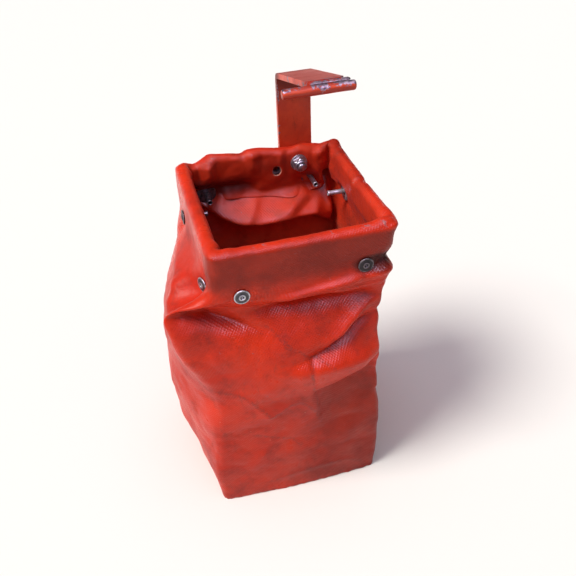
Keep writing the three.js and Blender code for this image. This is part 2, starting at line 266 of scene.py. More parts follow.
# ---- materials; places in them are in metres
def coated_cloth():
    """Plastic-coated woven cloth: the weave prints through the coating, with scuffs, ground-in dirt, painted
    shade and painted light.
    """
    material, n = new_material("coated_cloth")
    place = n.coordinates("Object")
    x, y, z = n.split(place)

    # the weave, fainter where the ear stretches the cloth
    flat = n.scaled(n.coordinates("UV"), (1 / MM, 1 / MM, 1), (0, 0, math.radians(WEAVE_TURN)))
    threads = []
    for direction in "XY":
        wave = n.add("ShaderNodeTexWave", wave_type="BANDS", bands_direction=direction)
        n.put(wave.inputs["Vector"], flat)
        n.put(wave.inputs["Scale"], 0.314 / WEAVE_PITCH)      # at scale 1 the bands are 0.314 apart
        n.put(wave.inputs["Distortion"], 0.8)
        n.put(wave.inputs["Detail Scale"], 0.5)
        threads.append(wave.outputs["Fac"])
    stretched = n.times(n.between(x, -0.081, -0.085), n.between(y, -0.02, -0.04), n.between(z, 0.232, 0.250))
    weave = n.times(*threads, n.minus(1.0, n.times(stretched, 0.85)))

    # the coating's own colour
    patches = n.noise(place, 16, 4, 0.6)
    base = n.mix(n.between(patches, 0.32, 0.68), colour(210, 50, 20), colour(188, 40, 18))
    mottle = n.between(n.noise(place, 130, 4, 0.65), 0.42, 0.72, 0.0, 0.4)
    base = n.mix(mottle, base, colour(206, 46, 24))

    # ground-in dirt with painted shade, most of all on the band and low on the front; a painted shadow in the
    # hollow under its bulge
    front = n.between(y, -0.02, -0.07)
    low = n.times(n.between(z, 0.15, 0.02), front, n.between(x, -0.06, 0.04, 0.35, 1.0))
    # painted shadow in the hollow under the lower bulge
    hollow = n.times(n.between(z, 0.160, 0.125), front, n.between(x, -0.015, 0.035))
    band = n.times(n.between(z, 0.262, 0.285), n.between(y, -0.06, -0.078),
                   n.between(x, -0.09, 0.05, 0.75, 1.0), n.between(z, 0.310, 0.304))
    # the dirt noise is pushed darker on the band and low on the front, partly as painted shade
    bias = n.plus(n.times(low, 0.12), n.times(band, 0.17))
    grime_and_shade = n.between(n.plus(n.noise(place, 34, 8, 0.72, 0.25), bias), 0.46, 0.80, 0.0, 0.72)
    base = n.mix(grime_and_shade, base, colour(108, 28, 20))
    # dirt and painted shade: darkest on the band, low on the front and in the hollow
    dirt_and_shade = n.most(n.times(band, 0.75), n.times(low, 0.45), n.times(hollow, 0.55))
    base = n.mix(dirt_and_shade, base, colour(122, 32, 16))

    # the inside: painted light makes it paler, most of all low down, and a painted shadow darkens the recess
    # under the back of the rim
    normal_x, normal_y, normal_z = n.split(n.coordinates("Normal"))
    outward = n.plus(n.times(normal_x, x), n.times(normal_y, y))
    foot = n.times(n.between(z, 0.006, 0.003), n.between(normal_z, 0.3, 0.7))
    inside = n.most(n.between(outward, -0.01, -0.03), foot)
    # painted light: a paler colour inside, most of all low down
    base = n.mix(n.times(inside, n.between(z, 0.236, 0.205, 0.07, 0.5)), base, colour(224, 122, 94))
    # painted shadow in the recess under the back flap
    recess_shadow = n.times(n.between(y, 0.045, 0.055), n.between(x, 0.004, -0.022),
                     n.between(z, 0.266, 0.276), n.between(z, 0.296, 0.286), inside)
    base = n.mix(n.times(recess_shadow, 0.7), base, colour(60, 14, 14))

    # painted shadow in the slot beside the front right rivet
    along = n.math("DIVIDE", n.minus(x, 0.062), 0.022)
    across = n.math("DIVIDE", n.minus(z, 0.2765), 0.0095)
    slot = n.between(n.plus(n.times(along, along), n.times(across, across)), 1.3, 0.3)
    base = n.mix(n.times(slot, n.between(y, -0.06, -0.07), 0.8), base, colour(46, 16, 14))

    # smears, worn creases, scuffs along the rim, pale specks, and the fibres of the cut edges
    smear = n.between(n.noise(n.scaled(place, (60, 60, 16)), 1.0, 6, 0.75, 1.0), 0.60, 0.74, 0.0, 0.35)
    base = n.mix(smear, base, colour(120, 46, 36))
    broken = n.between(n.noise(place, 420, 4, 0.7), 0.36, 0.62)
    worn = n.times(n.between(n.attribute("wear"), 0.15, 0.85), broken, 0.45)
    base = n.mix(worn, base, colour(96, 50, 50))
    rim = n.times(n.between(z, 0.3055, 0.3135), n.between(y, -0.068, -0.08), 0.11)
    scuff_noise = n.noise(n.scaled(place, (140, 90, 240)), 1.0, 5, 0.75, 0.8)
    scuffs = n.between(n.plus(scuff_noise, rim), 0.665, 0.72, 0.0, 0.75)
    base = n.mix(scuffs, base, colour(150, 104, 110))
    dots = n.add("ShaderNodeTexVoronoi", feature="F1")
    n.put(dots.inputs["Vector"], place)
    n.put(dots.inputs["Scale"], 95)
    specks = n.times(n.between(dots.outputs["Distance"], 0.075, 0.035),
                     n.between(n.noise(place, 60, 2), 0.52, 0.60), 0.75)
    base = n.mix(specks, base, colour(214, 158, 140))
    fibre = n.times(n.between(n.attribute("raw_edge"), 0.5, 0.95), n.between(n.noise(place, 900, 3), 0.3, 0.6))
    n.set("Base Color", n.mix(fibre, base, colour(222, 176, 160)))

    polish = n.between(patches, 0.3, 0.7, 0.25, 0.42)
    n.set("Roughness", n.plus(polish, n.times(n.most(grime_and_shade, scuffs), 0.22)))
    n.set("Specular IOR Level", 0.2)
    n.set("Sheen Weight", 0.03)
    n.set("Sheen Roughness", 0.35)
    n.set("Sheen Tint", (0.9, 0.62, 0.85, 1))
    wrinkle = n.bump(n.noise(place, 62, 6, 0.62, 0.9), 0.5, 0.0016)
    pits = n.bump(n.noise(place, 330, 4, 0.7), 0.25, 0.0004, wrinkle)
    n.set("Normal", n.bump(weave, 0.55, 0.00032, pits))
    return material


def chipped_paint():
    """Old brushed paint over steel, worn through along the rod, the plate's front and the sharp edges."""
    material, n = new_material("chipped_paint")
    place = n.coordinates("Object")
    x, y, z = n.split(place)
    _, _, rising = n.split(n.coordinates("Normal"))

    # the paint, uneven and streaked
    patches = n.noise(place, 22, 5, 0.65)
    base = n.mix(n.between(patches, 0.32, 0.68), colour(220, 80, 48), colour(194, 64, 44))
    thin = n.between(n.noise(place, 70, 5, 0.75, 0.6), 0.52, 0.68, 0, 0.6)
    base = n.mix(thin, base, colour(206, 58, 26))
    streaks = n.between(n.noise(n.scaled(place, (90, 90, 26)), 1.0, 6, 0.8, 0.8), 0.56, 0.72, 0, 0.5)
    base = n.mix(streaks, base, colour(92, 24, 24))

    # painted shade: a painted shadow of the plate under the bend, darker on top of the plate, and on the rod's
    # lower half
    under_bend_shadow = n.times(n.between(z, 0.350, 0.376), n.between(y, 0.070, 0.0825), 0.72)
    base = n.mix(under_bend_shadow, base, colour(52, 16, 14))
    # painted shade on the plate's upward faces
    top = n.times(n.between(rising, 0.6, 0.9), n.between(z, 0.384, 0.390), 0.6)
    base = n.mix(top, base, colour(136, 26, 18))
    # painted shade on the rod's downward faces
    shaded = n.times(n.between(rising, 0.55, -0.1), n.between(y, 0.004, -0.006), 0.7)
    base = n.mix(shaded, base, colour(140, 30, 22))

    # chips: most on the upper right of the rod, on its left end, and on sharp edges
    near_rod = n.times(n.between(y, 0.002, -0.012), n.between(z, 0.398, 0.406))
    ends = n.most(n.between(x, 0.012, 0.046, 0.62, 1.0), n.between(x, 0.010, 0.002, 0.0, 0.7))
    rubbed = n.times(near_rod, ends, n.between(rising, -0.1, 0.75, 0.15, 1.0), 0.20)
    pointed = n.add("ShaderNodeNewGeometry").outputs["Pointiness"]
    edge = n.times(n.between(pointed, 0.515, 0.56), 0.12)
    chips = n.between(n.plus(n.noise(place, 150, 7, 0.66, 0.4), n.plus(rubbed, edge)), 0.655, 0.685)
    metal = n.mix(n.between(n.noise(place, 330, 4), 0.35, 0.65), colour(98, 80, 96), colour(160, 146, 158))
    n.set("Base Color", n.mix(chips, base, metal))
    n.set("Metallic", n.times(chips, 0.75))
    n.set("Roughness", n.plus(n.between(patches, 0.3, 0.7, 0.30, 0.46), n.times(chips, 0.08)))
    n.set("Specular IOR Level", 0.3)
    brush = n.bump(n.noise(place, 260, 4, 0.6), 0.35, 0.0005)
    n.set("Normal", n.bump(n.minus(1.0, chips), 0.7, 0.00025, brush))
    return material


def steel(name, light, dark, roughness, metallic):
    """Dull stained steel, with grime and painted shade where the mesh says so."""
    material, n = new_material(name)
    place = n.coordinates("Object")
    stain = n.between(n.noise(place, 260, 4, 0.65), 0.40, 0.72)
    # grime and painted shade, as the mesh gives it
    grime_and_shade = n.times(n.attribute("grime_and_shade"), 0.92)
    n.set("Base Color", n.mix(grime_and_shade, n.mix(stain, light, dark), colour(30, 27, 30)))
    n.set("Metallic", metallic)
    n.set("Roughness", n.between(n.noise(place, 400, 3), 0.3, 0.7, roughness, roughness + 0.18))
    n.set("Normal", n.bump(n.noise(place, 900, 3), 0.2, 0.0001))
    return material


# ---- mesh helpers
LATHE_SIDES = 40


def shade(mesh, smooth=True):
    for polygon in mesh.polygons:
        polygon.use_smooth = smooth


def add_object(name, mesh, material, smooth=True):
    piece = bpy.data.objects.new(name, mesh)
    scene.collection.objects.link(piece)
    mesh.materials.append(material)
    shade(mesh, smooth)
    return piece


def from_bmesh(name, bm, material, smooth=True, turn_outwards=True):
    if turn_outwards:
        bmesh.ops.recalc_face_normals(bm, faces=bm.faces)
    mesh = bpy.data.meshes.new(name)
    bm.to_mesh(mesh)
    bm.free()
    return add_object(name, mesh, material, smooth)


def thicken(piece, thickness):
    shell = piece.modifiers.new("thickness", "SOLIDIFY")
    shell.thickness = thickness * MM
    shell.offset = 0
    return shell


def refine(piece):
    fine = piece.modifiers.new("fine", "SUBSURF")
    fine.levels = fine.render_levels = 1


def apply_modifiers(piece):
    depsgraph = bpy.context.evaluated_depsgraph_get()
    mesh = bpy.data.meshes.new_from_object(piece.evaluated_get(depsgraph))
    piece.modifiers.clear()
    piece.data = mesh


def skin(bm, rings, closed=True, capped=False):
    """Makes the faces between each ring of vertices and the next."""
    count = len(rings[0])
    for a, b in zip(rings, rings[1:]):
        for k in range(count if closed else count - 1):
            m = (k + 1) % count
            bm.faces.new((a[k], a[m], b[m], b[k]))
    if capped:
        bm.faces.new(rings[0])
        bm.faces.new(list(reversed(rings[-1])))


def lathe(name, profile, material, matrix):
    """Turns (radius, along, grime and painted shade) points in mm about local +Y and places the result by
    matrix.
    """
    bm = bmesh.new()
    grime_and_shade_layer = bm.verts.layers.float.new("grime_and_shade")
    rings = []
    for radius, along, *grime_and_shade in profile:
        ring = []
        for k in range(LATHE_SIDES if radius else 1):
            angle = 2 * math.pi * k / LATHE_SIDES
            vert = bm.verts.new((radius * math.cos(angle) * MM, along * MM, radius * math.sin(angle) * MM))
            vert[grime_and_shade_layer] = sum(grime_and_shade)
            ring.append(vert)
        rings.append(ring)
    for a, b in zip(rings, rings[1:]):
        for k in range(LATHE_SIDES):
            m = (k + 1) % LATHE_SIDES
            corners = [a[k % len(a)], a[m % len(a)], b[m % len(b)], b[k % len(b)]]
            unique = list(dict.fromkeys(corners))      # three where a ring is a single point
            if len(unique) > 2:
                bm.faces.new(unique)
    bmesh.ops.transform(bm, matrix=matrix, verts=bm.verts)
    return from_bmesh(name, bm, material)


# ---- the cloth's shape
# Corner lines and side bulges against height: the bag stands on a square base, bellies to the left and is
# pinched into an ear at the front left corner just under the stiff band.
CORNER_LINES = {           # height, x, y
    "front_left": [(0, -87, -81), (32, -90.5, -81), (97, -88, -81), (120, -85, -82), (147, -82.5, -82),
                   (169, -92, -81), (196, -106, -80), (206, -112, -79), (230, -119, -78), (244, -124, -75),
                   (251, -126, -73), (256, -113, -76.5), (262, -97, -80), (269, -84, -82),
                   (275, -82.5, -82.5)],
    "front_right": [(0, 78, -81), (30, 80, -82), (70, 79, -82), (112, 77, -82), (136, 76, -82),
                    (152, 74, -81), (170, 72, -81), (195, 71, -80), (220, 70, -80), (241, 70, -80),
                    (248, 72, -80), (261, 77, -82), (268, 78, -82), (275, 79, -82.5)],
    "back_right": [(0, 78, 81), (35, 80, 82), (110, 82, 83), (150, 82, 83), (205, 80, 83), (230, 79, 82),
                   (245, 80, 82), (262, 82, 82.5)],
    "back_left": [(0, -84, 80), (35, -88, 81), (75, -91, 82), (110, -93, 82), (150, -93, 82), (205, -91, 82),
                  (226, -88, 82), (241, -86, 82), (262, -82.5, 82.5)],
}
BULGES = {                 # height, outwards
    "front": [(0, 3), (35, 3), (75, 3), (110, 4), (135, 8), (160, 14), (180, 15), (205, 10), (226, 3),
              (241, -2), (255, -1), (265, 0)],
    "right": [(0, 2), (75, 4), (150, 6), (205, 5), (241, 2), (255, 0)],
    "back": [(0, 2), (75, 3), (150, 2), (178, 0), (205, -3), (240, -3), (262, 0)],
    "left": [(0, 3), (35, 12), (75, 23), (110, 29), (150, 31), (178, 24), (205, 14), (226, 5), (241, -3),
             (252, -3), (262, -1), (270, 0)],
}
BODY_TOP = 275.0

# Folds: points of side + place along it (0 to 1), height, outward amount; then the widths above and below
# the line, and the sharpness of the crest. Sides count from the front: 0 front, 1 right, 2 back, 3 left.
FOLDS = [
    # the ridge off the ear, then the valley under it, running right and fading
    (((-0.02, 255, 2), (0.06, 261, 4), (0.13, 262, 4), (0.21, 258, 2), (0.28, 256, 0)), 4, 5, 1.2),
    (((0.02, 250, -4), (0.09, 247, -12), (0.19, 241, -15), (0.29, 233, -12), (0.38, 226, -5),
      (0.46, 221, 0)), 8, 6, 1.4),
    (((0.34, 246, 0), (0.48, 244, -6), (0.62, 245, -8), (0.72, 246, -5)), 5, 8, 1.4),
    # the ridge just under the band, rising to the right corner
    (((0.26, 258, 0), (0.40, 256, 3), (0.53, 256, 6), (0.68, 261, 7.5), (0.84, 266.5, 8), (0.97, 268.5, 7),
      (1.05, 266, 3), (1.2, 262, 0)), 4, 8, 1.25),
    # the pinched slot by the right rivet
    (((0.66, 274, 0), (0.78, 276, -3), (0.90, 275, -8), (1.0, 274, -12), (1.05, 274, -6),
      (1.14, 274, 0)), 3, 3.2, 1.4),
    # second ridge and the hollow under it
    (((0.42, 251, 0), (0.52, 252.5, 3), (0.65, 253, 4.5), (0.83, 254, 5.5), (0.97, 257, 3)), 3, 5, 1.25),
    (((0.42, 240, 0), (0.55, 243, -4), (0.68, 243, -8), (0.80, 243, -10), (0.92, 241, -6),
      (1.0, 240, 0)), 5, 9, 1.4),
    # diagonal fold off the right corner and the valley under it
    (((1.0, 240, 0), (0.93, 232, 5), (0.86, 221, 7), (0.79, 208, 7), (0.72, 199, 4),
      (0.64, 192, 0)), 5, 4, 1.2),
    (((1.0, 221, -3), (0.92, 213, -9), (0.82, 200, -11), (0.72, 192, -10), (0.62, 188, -6), (0.50, 186, -2),
      (0.40, 184, 0)), 4.5, 5, 1.25),
    # the big lower bulge and the hollow under it
    (((0.36, 166, 0), (0.50, 174, 3.5), (0.62, 176, 6), (0.75, 176, 8), (0.88, 174, 9),
      (0.99, 174, 4)), 11, 16, 1.7),
    (((0.54, 138, 0), (0.585, 140, -7), (0.70, 141, -13), (0.82, 146, -14), (0.92, 157, -11),
      (1.0, 171, -6)), 5, 30, 1.4),
    (((0.62, 112, 0), (0.75, 110, -3), (0.95, 118, -3)), 12, 22, 2),
    # upright crease through the bulge
    (((0.62, 194, 0), (0.60, 184, -2.2), (0.575, 172, -2), (0.565, 158, -2), (0.56, 142, 0)), 2, 3.5, 1.1),
    # the front right corner's firm upright crease
    (((1.0, 112, 0), (1.0, 128, 3.5), (1.0, 140, 5.5), (1.0, 151, 9), (1.0, 163, 7.5), (1.0, 176, 2.5),
      (1.0, 200, 2.5), (1.0, 214, 6), (1.0, 226, 8), (1.0, 240, 4), (1.0, 252, 2),
      (1.0, 262, 0)), 8, 8, 1.3),
    # thin scuffed creases low on the front
    (((0.04, 161, 0), (0.10, 158, 1.3), (0.15, 154, 1.6), (0.22, 136, 2), (0.30, 120, 2),
      (0.335, 116, 0)), 2.2, 7, 1.1),
    (((0.30, 118, 1.4), (0.36, 122, 2), (0.42, 131, 2), (0.48, 132, 1.6), (0.52, 127, 1.6), (0.58, 112, 1.5),
      (0.61, 99, 0.5)), 6, 2.2, 1.1),
    (((0.20, 138, -1), (0.33, 138, -2.5), (0.44, 143, -1)), 8, 7, 2),
    (((0.10, 95, 0), (0.16, 104, -1.8), (0.28, 104, -2), (0.36, 108, 0)), 6, 10, 1.6),
    (((0.18, 30, 0), (0.24, 56, 1.6), (0.34, 78, 1.6), (0.46, 88, 0)), 7, 8, 1.3),
    (((0.50, 60, 0), (0.60, 78, -2), (0.75, 88, -2.5), (0.95, 84, 0)), 9, 12, 1.6),
    (((0.30, 16, 0), (0.45, 22, 1.0), (0.62, 27, 1.2), (0.80, 24, 0.8), (0.90, 14, 0)), 2, 3, 1.1),
    # left side
    (((3.1, 279, 0), (3.2, 279.5, -1.5), (3.8, 279.5, -1.5), (3.92, 279, 0)), 1.6, 2.5, 1.2),
    (((3.98, 250, 0), (3.86, 242, 4), (3.66, 232, 3), (3.40, 224, 0)), 7, 8, 1.3),
    (((3.92, 262, -1), (3.70, 258, -4), (3.45, 254, -3), (3.15, 258, 0)), 6, 9, 1.5),
    (((3.25, 180, 0), (3.5, 160, -3), (3.75, 150, 0)), 16, 18, 2),
    (((3.35, 90, 0), (3.6, 70, 2.5), (3.85, 40, 0)), 12, 12, 1.8),
    # right side
    (((1.05, 253, 0), (1.30, 240, 4), (1.6, 224, 3), (1.85, 215, 0)), 8, 10, 1.3),
    (((1.0, 225, -4), (1.2, 207, -7), (1.45, 192, -5), (1.7, 185, 0)), 8, 8, 1.3),
    (((1.0, 182, 2), (1.15, 176, 4), (1.40, 160, 3), (1.7, 150, 0)), 9, 12, 1.5),
    (((1.02, 150, -4), (1.22, 134, -6), (1.5, 122, -3), (1.7, 118, 0)), 9, 14, 1.5),
    # back: the inward buckle, which overhangs the dark space below it
    (((2.0, 222, -3), (2.05, 229, -14), (2.12, 238, -23), (2.18, 245, -28), (2.32, 246, -30),
      (2.52, 244, -30), (2.66, 247, -28), (2.75, 253, -22), (2.84, 262, -12),
      (2.93, 268, -2)), 19, 4.5, 1.8),
    (((2.15, 272, 0), (2.22, 264, -4), (2.33, 256, -6), (2.44, 249, -2)), 4, 6, 1.3),
    (((2.11, 262, 0), (2.19, 255, 4), (2.28, 250, 3.5), (2.36, 246, 0)), 5, 5, 1.4),
    (((2.07, 272, 0), (2.075, 258, -7), (2.05, 242, -8), (2.03, 228, -2)), 5, 5, 1.4),
    (((2.48, 270, 0), (2.55, 260, -4), (2.60, 251, -3), (2.62, 246, 0)), 5, 7, 1.3),
    (((2.66, 266, 0), (2.72, 261, 3), (2.80, 262, 2)), 5, 6, 1.4),
    (((2.1, 206, 0), (2.35, 194, 4), (2.65, 196, 4), (2.9, 204, 0)), 8, 16, 1.7),
    (((2.2, 120, 0), (2.45, 105, -4), (2.75, 112, 0)), 18, 18, 2),
]
# Thin creases where the coating is worn or dirty: place along the loop and height; used for the looks only.
WORN_LINES = [
    ((0.02, 161), (0.10, 158), (0.15, 154), (0.22, 136), (0.30, 120), (0.335, 116)),
    ((0.30, 118), (0.36, 122), (0.42, 131), (0.48, 132), (0.52, 127), (0.58, 112), (0.61, 99)),
    ((0.50, 206), (0.56, 198), (0.60, 188), (0.575, 172), (0.565, 158), (0.56, 140)),
    ((0.60, 190), (0.66, 184), (0.70, 176)),
    ((0.57, 141), (0.60, 118), (0.605, 100)),
    ((0.30, 16), (0.45, 22), (0.62, 27), (0.80, 24), (0.90, 14)),
    ((0.44, 226), (0.48, 216), (0.52, 206)),
    ((0.22, 92), (0.34, 84), (0.44, 78), (0.50, 66)),
]
# The rim isn't level: it is high at the front right corner and wavy along the back. Place, lift.
RIM_LIFT = [(0, 1), (0.03, -1.2), (0.07, 0.6), (0.12, -0.3), (0.5, 0.5), (0.8, 2.0), (0.92, 3.2), (0.96, 5.5),
            (1.0, 5.5), (1.05, 3.5), (1.1, 4.2), (1.2, 2.5), (1.45, 1), (1.5, -1.0), (1.53, 1.8), (1.75, 1.5),
            (1.95, 2.8), (1.99, 5.2), (2.02, 4.6), (2.05, 3.6), (2.10, 0.8), (2.16, 3.2), (2.22, 4.5),
            (2.30, 2.4), (2.42, 3.4), (2.53, 5.2), (2.575, 5.6), (2.61, 2.4), (2.70, 4.2), (2.77, 5.4),
            (2.81, 6.4), (2.85, 3.0), (2.89, -0.6), (2.93, -1.9), (2.96, -0.4), (3.0, 2.8), (3.05, 2.5),
            (3.12, 1.0), (3.4, 0.5), (3.9, 0.5), (3.96, 1.5), (4, 1)]

COLUMNS = 66               # per side
LOOP = 4 * COLUMNS
PLACES = np.arange(LOOP) / COLUMNS         # of the columns round the loop, in sides
BODY_STEP = 2.2
ROLL_STEPS = 14
FLAP_STEPS = 20
WALL_FOOT = 1.2
HEM_ROWS = (282, 289, 296)
BASE_LEVEL = 0.6
HOLE_RADIUS = 4.3
BACK_FLAP_Y = (60, 78)     # between these lies the inner flap of the back
SLIT_TOP = 0.2855          # metres; below it the flaps are cut apart at the corners
OUTWARD = np.array([(0, -1, 0), (1, 0, 0), (0, 1, 0), (-1, 0, 0)], float)      # by side
ACROSS = np.array([(1, 0, 0), (0, 1, 0), (-1, 0, 0), (0, -1, 0)], float)


def interpolate(points, places):
    """Each further column of the points, interpolated at places in the first."""
    table = np.array(points, float)
    return [np.interp(places, table[:, 0], table[:, k]) for k in range(1, table.shape[1])]


def fold_amount(fold, s, z):
    """Outward amount of one fold at perimeter places s (sides) and heights z (mm)."""
    points, above, below, sharpness = fold
    nearest = np.full(s.shape, np.inf)
    amount = np.zeros(s.shape)
    for shift in (-4, 0, 4):                    # a fold may run past the loop's start
        for (s0, z0, h0), (s1, z1, h1) in zip(points, points[1:]):
            dx, dz = (s1 - s0) * SIDE, z1 - z0
            px, pz = s * SIDE - (s0 + shift) * SIDE, z - z0
            t = np.clip((px * dx + pz * dz) / (dx * dx + dz * dz), 0, 1)
            ox, oz = px - t * dx, pz - t * dz
            distance = np.hypot(ox, oz)
            up = oz if abs(dx) > abs(dz) else ox * np.sign(-dz * dx + 1e-9)
            width = np.where(up > 0, above, below)
            here = (h0 + (h1 - h0) * t) * np.exp(-(distance / width) ** sharpness)
            closer = distance < nearest
            amount = np.where(closer, here, amount)
            nearest = np.where(closer, distance, nearest)
    return amount


def smooth_loop(rows, weight, passes):
    """Rounds corners: repeated averaging along the loop, by weight per column."""
    for _ in range(passes):
        mean = (np.roll(rows, 1, axis=1) + np.roll(rows, -1, axis=1)) / 2
        rows += (mean - rows) * weight[None, :, None]
    return rows


def outward_directions(rows):
    tangent = np.roll(rows, -2, axis=1) - np.roll(rows, 2, axis=1)
    tangent[..., 2] = 0
    tangent /= np.linalg.norm(tangent, axis=2, keepdims=True)
    return np.stack([tangent[..., 1], -tangent[..., 0], np.zeros(tangent.shape[:2])], axis=2)


def crumple(place, size, seed):
    """Sharp-edged crumpling, in mm about zero: creases where a smooth noise changes sign."""
    shift = Vector((seed * 17.3, seed * 5.1, seed * 9.7))
    value = noise.noise(place / size + shift)
    bend = noise.noise(place / (size * 2.3) + shift * 1.7)
    return abs(value + 0.35 * bend) ** 0.9 - 0.28


def crumple_field(rows):
    field = np.zeros(rows.shape[:2])
    for i, row in enumerate(rows):
        for j, point in enumerate(row):
            place = Vector(point)
            field[i, j] = (3.4 * crumple(place, 62, 1) + 1.9 * crumple(place, 29, 2)
                           + 0.8 * crumple(place, 13, 3))
    return field


def wall_rows():
    """Rows of points from the base's edge up to the roll, round the whole loop, and their heights."""
    heights = np.concatenate([np.linspace(WALL_FOOT, BODY_TOP, int(BODY_TOP / BODY_STEP)), HEM_ROWS])
    u = np.arange(COLUMNS) / COLUMNS
    corners = list(CORNER_LINES.values())
    rows = np.zeros((len(heights), LOOP, 3))
    for side, name in enumerate(SIDES):
        ax, ay = interpolate(corners[side], heights)
        bx, by = interpolate(corners[(side + 1) % 4], heights)
        bulge, = interpolate(BULGES[name], heights)
        length = np.hypot(bx - ax, by - ay)
        nx, ny = (by - ay) / length, -(bx - ax) / length
        block = slice(side * COLUMNS, (side + 1) * COLUMNS)
        swell = bulge[:, None] * np.sin(np.pi * u)[None, :]
        rows[:, block, 0] = ax[:, None] + (bx - ax)[:, None] * u + nx[:, None] * swell
        rows[:, block, 1] = ay[:, None] + (by - ay)[:, None] * u + ny[:, None] * swell
        rows[:, block, 2] = heights[:, None]
    return rows, heights


def corner_weight(reach):
    """1 at the corners, falling off within the reach, in columns."""
    column = np.arange(LOOP)
    distance = np.minimum(column % COLUMNS, COLUMNS - column % COLUMNS)
    return np.exp(-(distance / reach) ** 2)


def hold_at_rivets(rows):
    """Draws the cloth in to the hem's face around each rivet, with a shallow dimple under its flange."""
    for name, side, along, height in RIVETS:
        index = SIDES.index(side)
        out = rows @ OUTWARD[index]
        sideways = rows @ ACROSS[index] - along
        distance = np.hypot(sideways, rows[..., 2] - height)
        on_this_side = (out > 55) & (rows[..., 2] < HEM_ROWS[-1])
        reach = 18 if name in RIVET_TURN else 11.5
        pull = np.exp(-(distance / reach) ** 4) * on_this_side
        slope = math.tan(math.radians(RIVET_TURN.get(name, 0)))
        target = MOUTH_HALF - CLOTH / 2 - 0.25 - 0.5 * np.exp(-(distance / 8.5) ** 4) - slope * sideways
        rows += OUTWARD[index] * ((target - out) * pull)[..., None]


def shape_wall():
    rows, heights = wall_rows()
    for _ in range(2):                          # soften the kinks between the given heights
        rows[1:-1] += (rows[:-2] + rows[2:] - 2 * rows[1:-1]) * 0.25
        rows[1:-1, :, 2] = heights[1:-1, None]
    body = heights < BAND_FOOT
    rows[body] = smooth_loop(rows[body], corner_weight(2.0), 3)
    rows[~body] = smooth_loop(rows[~body], corner_weight(4.0), 8)
    s = np.broadcast_to(PLACES, rows.shape[:2])
    z = np.broadcast_to(heights[:, None], rows.shape[:2])
    amount = sum(fold_amount(fold, s, z) for fold in FOLDS)
    amount += crumple_field(rows) * np.interp(z, [0, 12, 50, 235, 258, 290], [0.15, 0.5, 1, 1, 0.45, 0.35])
    calm = np.interp(z, [0, 6, 20, 262, 276, 281], [0.2, 0.5, 1, 1, 1, 0.6])
    directions = outward_directions(rows)
    rows = rows + directions * (amount * calm)[..., None]
    hold_at_rivets(rows)
    lift, = interpolate(RIM_LIFT, PLACES)
    rows[..., 2] += lift[None, :] * np.interp(heights, [266, 286], [0, 1])[:, None]
    ragged = np.array([noise.noise(Vector(point) / 5) + 0.6 * noise.noise(Vector(point) / 2)
                       for point in rows[0]])
    rows[0, :, 2] = BASE_LEVEL
    rows[0] += directions[0] * (0.9 * ragged)[:, None]
    rows[1] += directions[1] * (0.45 * ragged)[:, None]
    return rows


def rivet_distance(s, z):
    """How far a place on the loop is from the nearest rivet, in mm."""
    return min(math.hypot((s - SIDES.index(side) - 0.5) * SIDE - along, z - height)
               for _, side, along, height in RIVETS)


def hem_profile(wall):
    """Inset from the hem's outer face and height, by column, over the roll and down the inner flap."""
    s = PLACES
    wall_in = MOUTH_HALF - (wall * OUTWARD[np.arange(LOOP) // COLUMNS]).sum(axis=2)
    wall_z = wall[..., 2]
    lift, = interpolate(RIM_LIFT, s)
    centre = RIM_TOP - ROLL_RADIUS + lift
    middle = ROLL_RADIUS - CLOTH / 2
    profile = []
    for k in range(ROLL_STEPS + 1):
        angle = math.pi * (1 - k / ROLL_STEPS)
        inset = np.full(LOOP, ROLL_RADIUS + middle * math.cos(angle))
        profile.append((inset, centre + middle * math.sin(angle)))
    flap_edge = np.interp(s, [0, 0.5, 1, 1.25, 1.55, 1.95, 2.0, 2.15, 2.3, 2.6, 2.9, 3.0, 3.5, 4],
                          [254, 256, 258, 262, 270, 281, 270, 263, 262, 266, 268, 264, 258, 254])
    for k in range(1, FLAP_STEPS + 1):
        height = centre + (flap_edge - centre) * k / FLAP_STEPS
        tight = np.interp(height, [262, 276, 280, 284, 287, 292, 300],
                          [4.1, 4.1, 5.2, 8.8, 11.6, 12.1, 12.45])
        gentle = np.interp(height, [250, 262, 275, 287, 300], [6, 8.2, 10.4, 12.0, 12.45])
        free = 1 - np.exp(-np.array([(rivet_distance(s[j], height[j]) / 13) ** 4 for j in range(LOOP)]))
        loose = np.interp(s, [1.05, 1.3, 1.9, 2.06, 2.5, 2.58, 2.95, 3.1, 3.3, 3.9],
                          [0, 0.6, 0.9, 1, 1, 0.1, 0.1, 0.5, 0.4, 0]) * free
        behind = np.array([np.interp(height[j], wall_z[:, j], wall_in[:, j]) for j in range(LOOP)])
        behind = np.maximum(behind, (np.roll(behind, 1) + np.roll(behind, -1)) / 2)
        tuck = np.interp(k, [FLAP_STEPS - 4, FLAP_STEPS], [0, 1]) * ((s > 2) & (s < 3))
        inset = np.maximum(tight + (gentle - tight) * loose, behind + 2.6)
        profile.append((inset + (behind + 1.5 - inset) * tuck, height))
    return profile


def corner_square(inset_row):
    """The loop's column places on a square whose half-side is the hem's less the inset."""
    column = np.arange(LOOP)
    signs = np.array([(-1, -1), (1, -1), (1, 1), (-1, 1)], float)
    start = signs[column // COLUMNS]
    finish = signs[(column // COLUMNS + 1) % 4]
    u = (column % COLUMNS) / COLUMNS
    return (start + (finish - start) * u[:, None]) * (MOUTH_HALF - inset_row)[:, None]


def on_back_flap(y):
    return (y > BACK_FLAP_Y[0]) & (y < BACK_FLAP_Y[1])


